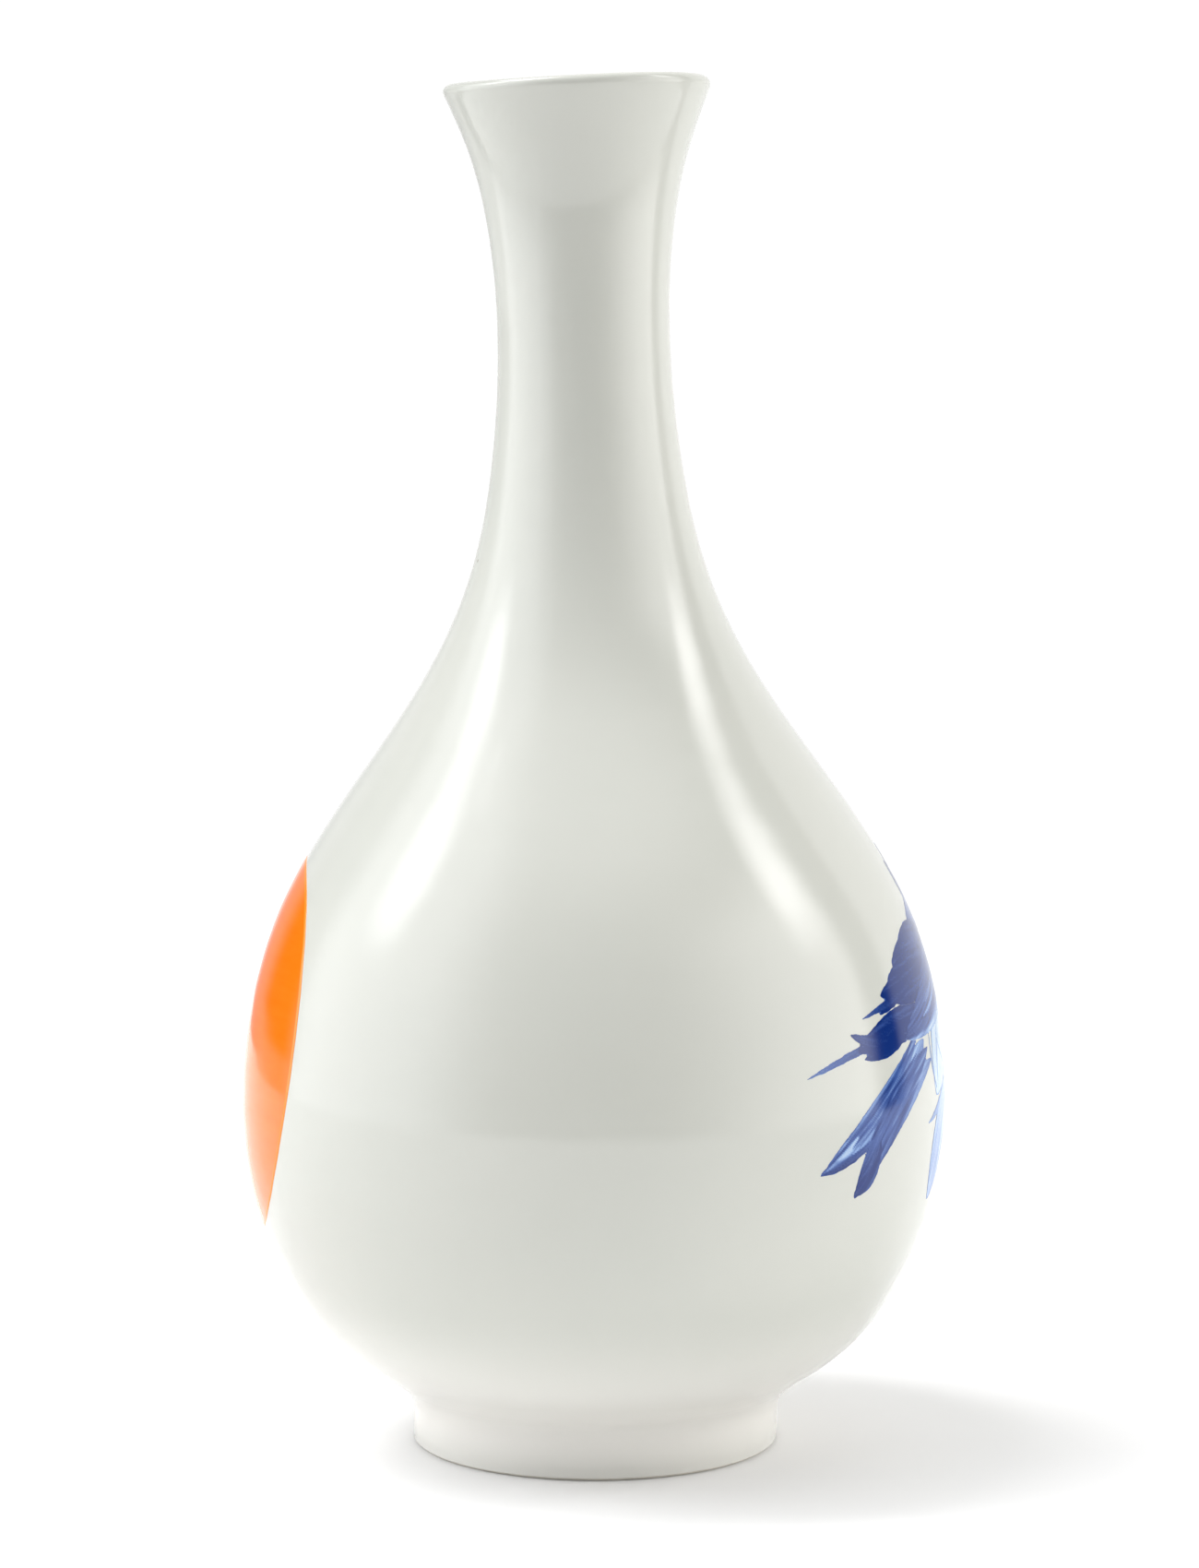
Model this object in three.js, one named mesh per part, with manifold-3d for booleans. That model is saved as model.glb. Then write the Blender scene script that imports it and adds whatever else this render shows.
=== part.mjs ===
// A tall bottle vase of glazed porcelain, thrown in sections that are luted edge to edge, with an orange
// enamel disc on one flank and a cobalt bird on the other. Millimetres, +Z up, the foot stands on z = 0,
// the front is -Y, the disc is on -X and the bird on +X.
import * as THREE from "three";
import { mergeVertices } from "three/addons/utils/BufferGeometryUtils.js";
import Module from "manifold-3d";

const wasm = await Module();
wasm.setup();

// The pot's outline.
const HEIGHT = 320.8; // mean height of the rim
const FOOT_HEIGHT = 9.5;
const FOOT_RADIUS = 43.4;
const CREASE_RADIUS = 43.2; // where the belly springs from the foot
const BELLY_RADIUS = 83.26;
const BELLY_Z = 80;
const NECK_RADIUS = 20.18;
const NECK_Z = 262;
const MOUTH_RADIUS = 31.1;

// Thicknesses.
const FOOT_WALL = 7;
const FLOOR = 5.5;
const BELLY_WALL = 4.2;
const NECK_WALL = 3.3;
const LIP_RADIUS = 1.4;

// How the thrown neck and rim stray from true.
const LEAN = 4.4; // the mouth's shift towards -X
const LEAN_FROM = 130; // height where the shift begins
const RIM_TILT = 1.0; // the rim is this much higher on +X and lower on -X
const RIM_WAVE = 0.3;

// Heights of the luted seams above the foot's.
const BELLY_SEAM = 86;
const SHOULDER_SEAM = 152;
const NECK_SEAM = 206;
const MOUTH_SEAM = 286;

// The enamels.
const DISC_RADIUS = 45.5;
const DISC_Z = 97;
const DISC_AZIMUTH = -88.5; // degrees from the front, +X positive
const BIRD_Z = 97;
const BIRD_AZIMUTH = 90;
const ENAMEL = 0.35; // thickness
const ENAMEL_GAP = 0.15; // enamel to wall
const STROKE_GAP = 0.4; // between neighbouring strokes

const SEGMENTS = 48;
const ENAMEL_EDGE = 6.5; // longest edge in an enamel's mesh

// Points of the outline between the sizes above, as [share of the height, share of the radius].
const UNDERBODY = [[0.05, 0.062], [0.163, 0.333], [0.376, 0.681], [0.66, 0.911]];
const UPPER_BODY = [[0.132, 0.968], [0.275, 0.8375], [0.412, 0.5987], [0.549, 0.3262], [0.687, 0.1315], [0.835, 0.0353]];
const MOUTH_FLARE = [[0.462, 0.161], [0.764, 0.521]];

// The flare meets the lip's roundel at this angle below its widest point.
const LIP_ANGLE = 0.4;
const LIP_R = MOUTH_RADIUS - LIP_RADIUS;
const LIP_Z = HEIGHT - LIP_RADIUS;
const FLARE_R = LIP_R + LIP_RADIUS * Math.cos(LIP_ANGLE);
const FLARE_Z = LIP_Z - LIP_RADIUS * Math.sin(LIP_ANGLE);

function between(shares, z0, r0, z1, r1) {
  return shares.map(([a, b]) => [z0 + a * (z1 - z0), r0 + b * (r1 - r0)]);
}

const KNOTS = [
  [FOOT_HEIGHT, CREASE_RADIUS],
  ...between(UNDERBODY, FOOT_HEIGHT, CREASE_RADIUS, BELLY_Z, BELLY_RADIUS),
  [BELLY_Z, BELLY_RADIUS],
  ...between(UPPER_BODY, BELLY_Z, NECK_RADIUS, NECK_Z, BELLY_RADIUS),
  [NECK_Z, NECK_RADIUS],
  ...between(MOUTH_FLARE, NECK_Z, NECK_RADIUS, FLARE_Z, FLARE_R),
  [FLARE_Z, FLARE_R],
];

// The natural cubic spline through the knots, and its slope.
function spline(knots) {
  const last = knots.length - 1;
  const bend = new Array(knots.length).fill(0);
  const ratio = [0];
  for (let i = 1; i < last; i++) {
    const [za, ra] = knots[i - 1];
    const [zb, rb] = knots[i];
    const [zc, rc] = knots[i + 1];
    const pull = 6 * ((rc - rb) / (zc - zb) - (rb - ra) / (zb - za));
    const diagonal = 2 * (zc - za) - (zb - za) * ratio[i - 1];
    ratio[i] = (zc - zb) / diagonal;
    bend[i] = (pull - (zb - za) * bend[i - 1]) / diagonal;
  }
  for (let i = last - 1; i > 0; i--) bend[i] -= ratio[i] * bend[i + 1];
  return (z) => {
    let i = 0;
    while (i < last - 1 && z > knots[i + 1][0]) i++;
    const [za, ra] = knots[i];
    const [zb, rb] = knots[i + 1];
    const h = zb - za;
    const t = z - za;
    const first = (rb - ra) / h - (h * (2 * bend[i] + bend[i + 1])) / 6;
    const third = (bend[i + 1] - bend[i]) / h;
    return {
      r: ra + t * (first + t * (bend[i] / 2 + (t * third) / 6)),
      slope: first + t * (bend[i] + (t * third) / 2),
    };
  };
}

const outline = spline(KNOTS);

function outer(z) {
  return [outline(z).r, z];
}

function inner(z) {
  const { r, slope } = outline(z);
  const share = Math.min(Math.max((z - BELLY_Z) / (NECK_Z - BELLY_Z), 0), 1);
  const wall = BELLY_WALL + (NECK_WALL - BELLY_WALL) * share;
  return [r - wall * Math.hypot(1, slope), z];
}

function lean(z) {
  return -LEAN * Math.pow(Math.max(z - LEAN_FROM, 0) / (HEIGHT - LEAN_FROM), 1.35);
}

function rimRise(azimuth, z) {
  const weight = Math.max(z - MOUTH_SEAM, 0) / (HEIGHT - MOUTH_SEAM);
  const tilt = RIM_TILT * Math.sin(azimuth) + 0.2 * RIM_TILT * Math.cos(azimuth);
  return weight * weight * (tilt - RIM_WAVE * Math.cos(2 * azimuth + Math.PI / 3));
}

function stations(z0, z1, steps) {
  return Array.from({ length: steps + 1 }, (_, i) => z0 + ((z1 - z0) * i) / steps);
}

function node(name, geometry, color, roughness) {
  const mesh = new THREE.Mesh(geometry, new THREE.MeshStandardMaterial({ color, roughness, metalness: 0 }));
  mesh.name = name;
  return mesh;
}

// A turned section: its profile is [radius, height] points, and the pot's lean and rim are applied to it.
function turned(name, profile, color = "#eceee8", roughness = 0.12) {
  const points = profile.map(([r, z]) => new THREE.Vector2(r, z));
  const lathe = new THREE.LatheGeometry(points, SEGMENTS).rotateX(Math.PI / 2);
  lathe.deleteAttribute("normal");
  lathe.deleteAttribute("uv");
  const geometry = mergeVertices(lathe, 1e-3);
  const position = geometry.getAttribute("position");
  for (let i = 0; i < position.count; i++) {
    const [x, y, z] = [position.getX(i), position.getY(i), position.getZ(i)];
    position.setXYZ(i, x + lean(z), y, z + rimRise(Math.atan2(x, -y), z));
  }
  geometry.computeVertexNormals();
  return node(name, geometry, color, roughness);
}

// A wall section between two seams.
function wallSection(name, z0, z1, steps) {
  const heights = stations(z0, z1, steps);
  const profile = [...heights.map(outer), ...heights.toReversed().map(inner)];
  return turned(name, [...profile, profile[0]]);
}

function footRing() {
  const inside = FOOT_RADIUS - FOOT_WALL;
  const profile = [
    [inside + 1, 0],
    [FOOT_RADIUS - 1.8, 0],
    [FOOT_RADIUS - 0.8, 0.35],
    [FOOT_RADIUS - 0.3, 1.2],
    [FOOT_RADIUS - 0.1, 3],
    [FOOT_RADIUS, 6],
    [CREASE_RADIUS, FOOT_HEIGHT],
    [inside - 0.6, FOOT_HEIGHT],
    [inside, 1],
    [inside + 1, 0],
  ];
  return turned("foot_ring", profile, "#dcdbd2", 0.5);
}

function lowerBody() {
  const top = FOOT_HEIGHT + FLOOR;
  const heights = stations(FOOT_HEIGHT, BELLY_SEAM, 11);
  const profile = [
    [0, FOOT_HEIGHT],
    ...heights.map(outer),
    ...heights.toReversed().filter((z) => z > top + 1).map(inner),
    inner(top),
    [0, top],
  ];
  return turned("lower_body", profile);
}

function mouthRim() {
  const heights = stations(MOUTH_SEAM, FLARE_Z, 4);
  const lip = [];
  for (let i = 1; i < 6; i++) {
    const angle = -LIP_ANGLE + ((Math.PI + 0.1) * i) / 6;
    lip.push([LIP_R + LIP_RADIUS * Math.cos(angle), LIP_Z + LIP_RADIUS * Math.sin(angle)]);
  }
  const inside = heights.toReversed().map((z) => {
    const [r] = inner(z);
    const share = (z - MOUTH_SEAM) / (FLARE_Z - MOUTH_SEAM);
    return [r + (LIP_R - LIP_RADIUS - inner(FLARE_Z)[0]) * share * share, z];
  });
  const profile = [...heights.map(outer), ...lip, ...inside];
  return turned("mouth_rim", [...profile, profile[0]]);
}

// The arc length up the outline, for laying the flat drawings on the belly.
const ARC_STEP = 0.5;
const arcs = [{ z: FOOT_HEIGHT, length: 0 }];
for (let z = FOOT_HEIGHT + ARC_STEP; z <= NECK_SEAM; z += ARC_STEP) {
  const before = arcs[arcs.length - 1];
  arcs.push({ z, length: before.length + ARC_STEP * Math.hypot(1, outline(z - ARC_STEP / 2).slope) });
}

function arcAt(z) {
  return arcs[Math.round((z - FOOT_HEIGHT) / ARC_STEP)].length;
}

function heightAt(length) {
  const i = Math.min(Math.max(arcs.findIndex((a) => a.length > length), 1), arcs.length - 1);
  const [a, b] = [arcs[i - 1], arcs[i]];
  return a.z + ((b.z - a.z) * (length - a.length)) / (b.length - a.length);
}

// Bends a flat drawing, extruded to the enamel's thickness, round the belly: u runs round it, v up it.
function enamel(name, drawing, azimuth, height, color) {
  const reference = outline(height).r;
  const base = arcAt(height);
  const start = THREE.MathUtils.degToRad(azimuth);
  const solid = drawing.extrude(ENAMEL).refineToLength(ENAMEL_EDGE).warp((p) => {
    const z = heightAt(base + p[1]);
    const { r, slope } = outline(z);
    const turn = start + p[0] / reference;
    const out = (ENAMEL_GAP + p[2]) / Math.hypot(1, slope);
    p[0] = (r + out) * Math.sin(turn) + lean(z);
    p[1] = -(r + out) * Math.cos(turn);
    p[2] = z - slope * out;
  });
  const mesh = solid.getMesh();
  const geometry = new THREE.BufferGeometry();
  geometry.setAttribute("position", new THREE.BufferAttribute(new Float32Array(mesh.vertProperties), 3));
  geometry.setIndex(new THREE.BufferAttribute(new Uint32Array(mesh.triVerts), 1));
  geometry.computeVertexNormals();
  return node(name, geometry, color, 0.15);
}

// The disc is round on the pot, so its drawing widens where the belly's girth shrinks.
function discDrawing() {
  const reference = outline(DISC_Z).r;
  const base = arcAt(DISC_Z);
  const points = [];
  for (let i = 0; i < 48; i++) {
    const angle = (2 * Math.PI * i) / 48;
    const v = DISC_RADIUS * Math.sin(angle);
    const girth = outline(heightAt(base + v)).r;
    points.push([(DISC_RADIUS * Math.cos(angle) * reference) / girth, v]);
  }
  return wasm.CrossSection.ofPolygons([points]);
}

// One brush stroke in the shape of a feather, from root to tip, [u, v] in millimetres. bend bows it to the
// left of its own direction, and fullness above 1 puts its broadest part nearer the tip.
function stroke(root, tip, width, bend = 0, fullness = 1) {
  const [du, dv] = [tip[0] - root[0], tip[1] - root[1]];
  const length = Math.hypot(du, dv);
  const across = [-dv / length, du / length];
  const side = (t, sign) => {
    const breadth = width * Math.pow(Math.sin(Math.PI * Math.pow(t, fullness)), 0.65);
    const off = bend * 4 * t * (1 - t) + (sign * breadth) / 2;
    return [root[0] + du * t + across[0] * off, root[1] + dv * t + across[1] * off];
  };
  const steps = [0.05, 0.2, 0.4, 0.6, 0.8, 0.93];
  const points = [root, ...steps.map((t) => side(t, -1)), tip, ...steps.toReversed().map((t) => side(t, 1))];
  return wasm.CrossSection.ofPolygons([points]);
}

// The bird flies up and away from the front, its wings half spread and its tail streaming over the belly.
const bird = {
  bird_body: [
    stroke([-42.5, 5.5], [20, 28], 15, -1, 1.1),
    stroke([-10, 14], [-25.5, -10], 16, 0, 0.9),
    wasm.CrossSection.circle(6, 20).translate([20, 28]),
    stroke([22, 30], [37, 35], 4.4, 0, 0.8),
  ],
  bird_front_wing: [
    stroke([8, 22], [-40, 20], 16, 0, 1),
    stroke([-28, 22], [2, 35.5], 9, 0, 1),
    stroke([4, 24], [-34, 26.5], 9, -1, 1.6),
    stroke([2, 22], [-41, 23], 9, -2, 1.6),
    stroke([0, 20], [-45.5, 19.5], 8, -1, 1.6),
    stroke([-4, 20], [-50.5, 16.5], 6.5, -1, 1.6),
    stroke([-12, 18], [-44, 14], 5.5, 0, 0.9),
    stroke([-26, 20.5], [-52.2, 12.4], 2.6, 0, 1.2),
    stroke([-34, 17.5], [-59.4, 12.2], 2, 0, 0.7),
  ],
  bird_back_wing: [
    stroke([0, 24], [8, 41], 16, 0, 0.9),
    stroke([-1, 25], [-7, 45], 8, -1, 1.4),
    stroke([1, 25], [1, 49], 8.5, -1, 1.4),
    stroke([2, 25], [9, 50.5], 8.5, -1, 1.4),
    stroke([3, 25], [17, 48], 8.5, -2, 1.4),
    stroke([5, 25], [23.5, 42.5], 8, -2, 1.4),
  ],
  bird_plume: [
    stroke([-28, 10.5], [-62.5, 5.2], 8.5, -1, 0.9),
    stroke([-46, 6.5], [-64.4, 9.2], 3, 1.5, 1.1),
    stroke([-50, 7.6], [-79.5, 0.5], 2, -0.6, 0.6),
    stroke([-42, 6.5], [-60.5, 3.2], 3.4, 0.5, 1),
  ],
  bird_tail: [
    stroke([-36, 6], [-75.3, -21.3], 5, 0, 1),
    stroke([-32, 4], [-67, -19], 9, -1, 1),
    stroke([-30, 2], [-64.6, -28], 8, -4, 1.1),
    stroke([-28.5, -1], [-61.2, -25], 6.5, -4, 1),
  ],
  bird_lower_plume: [
    stroke([-15, -7], [-27.3, -34.5], 10, -2, 1.1),
    stroke([-19, -9], [-32.5, -15.6], 1.8, 1, 0.8),
  ],
};

// Each painted part keeps clear of those laid down before it, and its loose scraps are dropped.
function birdDrawings() {
  const drawings = [];
  let laid = null;
  for (const [name, strokes] of Object.entries(bird)) {
    const whole = wasm.CrossSection.union(strokes);
    const clear = laid ? whole.subtract(laid.offset(STROKE_GAP, "Miter")) : whole;
    const largest = clear.simplify(0.05).decompose().reduce((a, b) => (b.area() > a.area() ? b : a));
    drawings.push([name, largest]);
    laid = laid ? laid.add(largest) : largest;
  }
  return drawings;
}

const vase = new THREE.Group();
vase.name = "porcelain_vase";
vase.add(footRing());
vase.add(lowerBody());
vase.add(wallSection("upper_body", BELLY_SEAM, SHOULDER_SEAM, 7));
vase.add(wallSection("shoulder", SHOULDER_SEAM, NECK_SEAM, 6));
vase.add(wallSection("neck", NECK_SEAM, MOUTH_SEAM, 6));
vase.add(mouthRim());
vase.add(enamel("sun_disc", discDrawing(), DISC_AZIMUTH, DISC_Z, "#f5841f"));
for (const [name, drawing] of birdDrawings()) {
  vase.add(enamel(name, drawing, BIRD_AZIMUTH, BIRD_Z, "#24458c"));
}

export default vase;
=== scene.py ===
"""Builds a glazed porcelain bottle vase with an enamel sun and a cobalt bird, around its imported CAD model."""

import math
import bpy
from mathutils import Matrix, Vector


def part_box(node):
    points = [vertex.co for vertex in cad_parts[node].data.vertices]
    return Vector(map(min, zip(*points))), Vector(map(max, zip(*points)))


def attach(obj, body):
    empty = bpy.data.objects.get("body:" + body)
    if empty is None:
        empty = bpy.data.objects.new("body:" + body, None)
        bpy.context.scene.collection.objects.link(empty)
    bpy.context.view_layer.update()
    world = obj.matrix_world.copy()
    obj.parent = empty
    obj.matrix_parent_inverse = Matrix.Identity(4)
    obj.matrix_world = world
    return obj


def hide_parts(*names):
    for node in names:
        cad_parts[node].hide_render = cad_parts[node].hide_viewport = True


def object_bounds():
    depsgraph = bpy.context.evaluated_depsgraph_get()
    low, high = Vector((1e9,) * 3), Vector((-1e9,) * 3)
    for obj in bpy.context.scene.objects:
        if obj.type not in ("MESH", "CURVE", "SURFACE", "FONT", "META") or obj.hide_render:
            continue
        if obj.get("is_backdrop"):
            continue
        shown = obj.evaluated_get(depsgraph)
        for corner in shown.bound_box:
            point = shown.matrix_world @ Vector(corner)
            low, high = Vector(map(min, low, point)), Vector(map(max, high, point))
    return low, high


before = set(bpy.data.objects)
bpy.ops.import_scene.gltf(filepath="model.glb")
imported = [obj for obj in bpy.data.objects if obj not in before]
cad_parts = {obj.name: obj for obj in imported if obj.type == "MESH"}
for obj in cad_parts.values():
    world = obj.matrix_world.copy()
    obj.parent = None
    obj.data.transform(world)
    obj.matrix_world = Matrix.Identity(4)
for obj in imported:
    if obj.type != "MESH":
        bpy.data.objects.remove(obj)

from types import SimpleNamespace

import bmesh
import bpy
import numpy as np
from bpy.props import FloatProperty, FloatVectorProperty, IntProperty, PointerProperty

bl_info = {
    "name": "Porcelain bottle vase",
    "version": (1, 0, 0),
    "blender": (4, 5, 0),
    "location": "3D View > Sidebar > Vase",
    "description": "Builds a glazed porcelain bottle vase with an enamel sun and a painted bird",
    "category": "Add Mesh",
}

CAD_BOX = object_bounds()
MM = 0.001

# The frame's own places, in metres.
FOOT_LOW, FOOT_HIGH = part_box("foot_ring")
BODY_LOW, BODY_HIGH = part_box("lower_body")
RIM_LOW, RIM_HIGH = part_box("mouth_rim")
RIM_LIFT = 1.26 * MM  # the rim's highest point above its mean height

# Points of the outline between the main sizes, as [share of the height, share of the radius].
UNDERBODY = [(0.05, 0.062), (0.163, 0.333), (0.376, 0.681), (0.66, 0.911)]
UPPER_BODY = [(0.132, 0.968), (0.275, 0.8375), (0.412, 0.5987), (0.549, 0.3262), (0.687, 0.1315), (0.835, 0.0353)]
MOUTH_FLARE = [(0.462, 0.161), (0.764, 0.521)]
LIP_ANGLE = 0.4  # radians below the lip's widest point, where the flare meets it

# Fixed measures of the pot, in millimetres where they are lengths.
LEAN_POWER = 1.35  # above 1, the lean gathers towards the mouth
RIM_FROM = 286  # height where the rim's tilt and wave begin
RUN_UNDER = 3  # how far under its lowest knot the outline runs on
FOOT_DRAW = 0.25  # how far the foot draws in near the ground
FOOT_DRAW_FROM, FOOT_DRAW_TO = 3.6, 0.8  # heights where that begins and ends
CREASE_TIGHT = 1.5  # larger leaves less glaze in the crease over the foot
CREASE_REACH = 12  # height over the foot where the crease's glaze ends
GLAZE_EDGE = 0.75  # height on the foot where the glaze stops
FLOOR_CORNER = 11  # height of the rounding between the inside wall and the floor
INSIDE_RING_DEPTH = 0.18  # throwing marks inside
INSIDE_RING_LENGTH = 1.6  # their spacing over a full turn of the sine
SHARP = math.radians(50)  # edges steeper than this are shaded sharp

# Rows of the pot's mesh, in millimetres.
UNDERSIDE_ROWS = (12, 24, 33, 35)  # radii under the foot
FOOT_ROWS = np.arange(3.2, 14, 0.6)  # heights over the foot and the crease
BODY_ROWS = np.arange(14.2, 300, 2.2)  # heights up the body
FLARE_FROM = 300.4  # height where the rows close up again, towards the lip
FLOOR_ROWS = (26, 14, 5)  # radii of the floor inside

# The line up the wall along which a painting's height is measured.
WALL_LINE_TOP = 230
WALL_LINE_STEP = 0.25

# The painted coats, in millimetres.
SUN_DIVISIONS = 240  # round the sun
SUN_EDGE_ROWS = np.array([0, 0.06, 0.14, 0.26, 0.42, 0.65, 1.0, 1.5, 2.2])  # inward from its edge
SUN_INNER_FROM, SUN_INNER_STEP, SUN_LAST_RADIUS = 3.6, 1.5, 0.7
SUN_ROUNDING = 0.7  # width of the coat's rounded edge
SUN_THIN_EDGE = 1.1  # width of its paler edge
SUN_STRAY = 0.16  # how much its edge strays from a circle
SUN_LIFT = 0.015  # its edge's height above the glaze
SUN_SUNK = 0.12  # how deep the coat's underside lies in the wall
BIRD_SUNK = 0.06
BIRD_GAP = 0.03  # left between two of the bird's coats
BIRD_MARGIN = 9  # more than half of the broadest stroke
STROKE_POWER = 0.65  # below 1, a stroke is fuller than a sine along its length
HAIR_WIDTH, HAIR_LENGTH = 0.62, 11  # of the brush's broad hairs
FINE_WIDTH, FINE_LENGTH = 0.27, 5  # of its fine hairs
POOL_WIDTH = 0.32  # of the darker line along a stroke's edge

GLAZE_ROUGHNESS = 0.1
GLAZE_PEEL = 0.02  # depth of the glaze's unevenness, in millimetres
FLOOR_RINGS = (0.1, 0.2, 0.4, 0.65)  # radii in metres
FLOOR_DIVISIONS = 96
SEEN_WHITE = (1.05, 1.05, 1.05, 1)  # the white that the camera sees behind the floor


# ---------------------------------------------------------------- sizes and colours

def linear(code):
    """A linear colour with alpha, from an sRGB hex code."""
    parts = [int(code[i:i + 2], 16) / 255 for i in (1, 3, 5)]
    return tuple(c / 12.92 if c <= 0.04045 else ((c + 0.055) / 1.055) ** 2.4 for c in parts) + (1.0,)


def length(name, description, default):
    return FloatProperty(name=name, description=description, default=default, unit="LENGTH", precision=5)


def angle(name, description, degrees):
    return FloatProperty(name=name, description=description, default=math.radians(degrees), subtype="ANGLE")


def colour(name, description, code):
    return FloatVectorProperty(
        name=name, description=description, default=linear(code), subtype="COLOR", size=4, min=0, max=1)


class PotSizes(bpy.types.PropertyGroup):
    height: length("Height", "Mean height of the rim", RIM_HIGH.z - RIM_LIFT)
    foot_height: length("Foot height", "Height of the foot ring", FOOT_HIGH.z)
    foot_radius: length("Foot radius", "Outer radius of the foot ring", (FOOT_HIGH.x - FOOT_LOW.x) / 2)
    foot_wall: length("Foot wall", "Thickness of the foot ring", 7 * MM)
    crease_radius: length("Crease radius", "Radius where the belly springs from the foot", 43.2 * MM)
    belly_radius: length("Belly radius", "Radius at the widest height", (BODY_HIGH.y - BODY_LOW.y) / 2)
    belly_height: length("Belly height", "Height of the widest place", 80 * MM)
    neck_radius: length("Neck radius", "Radius at the narrowest height", 20.18 * MM)
    neck_height: length("Neck height", "Height of the narrowest place", 262 * MM)
    mouth_radius: length("Mouth radius", "Radius of the rim", (RIM_HIGH.y - RIM_LOW.y) / 2)
    lip_radius: length("Lip radius", "Radius of the lip's rounding", 1.75 * MM)
    belly_wall: length("Belly wall", "Wall thickness up to the belly", 4.2 * MM)
    neck_wall: length("Neck wall", "Wall thickness at the neck", 3.3 * MM)
    floor: length("Floor", "Thickness of the base inside", 5.5 * MM)
    lean: length("Lean", "Shift of the mouth to the left", -(RIM_LOW.x + RIM_HIGH.x) / 2)
    lean_from: length("Lean from", "Height where the shift begins", 130 * MM)
    rim_tilt: length("Rim tilt", "How much higher the rim is on the right", 1 * MM)
    rim_wave: length("Rim wave", "How much the rim waves", 0.3 * MM)
    ring_depth: length("Throwing rings", "Height of the soft rings left by throwing", 0.016 * MM)
    ring_pitch: length("Ring pitch", "Distance from ring to ring", 9.5 * MM)
    glaze: length("Glaze", "Thickness of the glaze over the foot", 0.4 * MM)
    segments: IntProperty(name="Segments", description="Divisions round the pot", default=192, min=24)


class PaintSizes(bpy.types.PropertyGroup):
    sun_radius: length("Sun radius", "Radius of the enamel sun along the wall", 45.5 * MM)
    sun_height: length("Sun height", "Height of the sun's middle", 97 * MM)
    sun_turn: angle("Sun turn", "Turn from the front to the sun", -88.5)
    sun_film: length("Sun film", "Height of the enamel above the glaze", 0.16 * MM)
    bird_height: length("Bird height", "Height of the bird drawing's middle", 97 * MM)
    bird_turn: angle("Bird turn", "Turn from the front to the bird", 90)
    bird_film: length("Bird film", "Height of the painted coat above the glaze", 0.04 * MM)
    bird_mesh: length("Bird mesh", "Spacing of the painted coat's mesh", 0.32 * MM)


class Finishes(bpy.types.PropertyGroup):
    porcelain: colour("Porcelain", "Clear glaze over white porcelain", "#CBCCC4")
    pooled: colour("Pooled glaze", "Glaze where it lies thick", "#C6C8C0")
    # the thin glaze is partly thinner glaze and partly painted light, standing in for the bounce off the pale
    # floor
    thin: colour("Thin glaze", "Glaze where it lies thin over the foot", "#ECEAE4")
    speck: colour("Iron speck", "Iron specks in the clay", "#8E8578")
    biscuit: colour("Biscuit", "Bare fired porcelain of the foot", "#E4E0D6")
    sun: colour("Sun enamel", "Orange overglaze enamel", "#F87306")
    sun_thin: colour("Thin sun enamel", "Orange enamel at its thin edge", "#FF9638")
    wash: colour("Cobalt wash", "The palest cobalt wash", "#BACFE0")
    light: colour("Light cobalt", "A thin stroke of cobalt", "#7F9ECE")
    middle: colour("Middle cobalt", "A full stroke of cobalt", "#3B589A")
    deep: colour("Deep cobalt", "The deepest cobalt", "#05296F")


class StageSizes(bpy.types.PropertyGroup):
    floor_radius: length("Floor radius", "Radius of the pale floor", 0.9)
    floor_tone: colour("Floor", "The pale floor", "#F4F4F4")
    camera_distance: length("Camera distance", "From the pot's axis to the camera", 1.060)
    camera_height: length("Camera height", "Height of the camera", 0.2682)
    camera_side: length("Camera side", "Sideways place of the camera", 0.00103)
    camera_dip: angle("Camera dip", "How far the camera looks down", 6)
    lens: FloatProperty(name="Lens", description="Focal length in millimetres", default=103.76, min=1)


def sizes(group):
    """A property group's values, with its lengths in millimetres."""
    out = SimpleNamespace()
    for key, prop in group.bl_rna.properties.items():
        if key in ("rna_type", "name"):
            continue
        value = getattr(group, key)
        out.__dict__[key] = value / MM if prop.unit == "LENGTH" else value
    return out


# ---------------------------------------------------------------- the thrown shape

def smooth(low, high, x):
    """0 below low, 1 above high, and smooth between."""
    t = np.clip((x - low) / (high - low), 0, 1)
    return t * t * (3 - 2 * t)


class Lattice:
    """Smooth random values over a plane, the same on each run."""

    def __init__(self, seed, size=97):
        self.size = size
        self.values = np.random.RandomState(seed).rand(size, size)

    def at(self, x, y):
        x, y = np.asarray(x, float), np.asarray(y, float)
        i, j = np.floor(x).astype(int), np.floor(y).astype(int)
        fx, fy = smooth(0, 1, x - i), smooth(0, 1, y - j)

        def pick(a, b):
            return self.values[a % self.size, b % self.size]

        low = pick(i, j) * (1 - fx) + pick(i + 1, j) * fx
        high = pick(i, j + 1) * (1 - fx) + pick(i + 1, j + 1) * fx
        return low * (1 - fy) + high * fy


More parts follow.
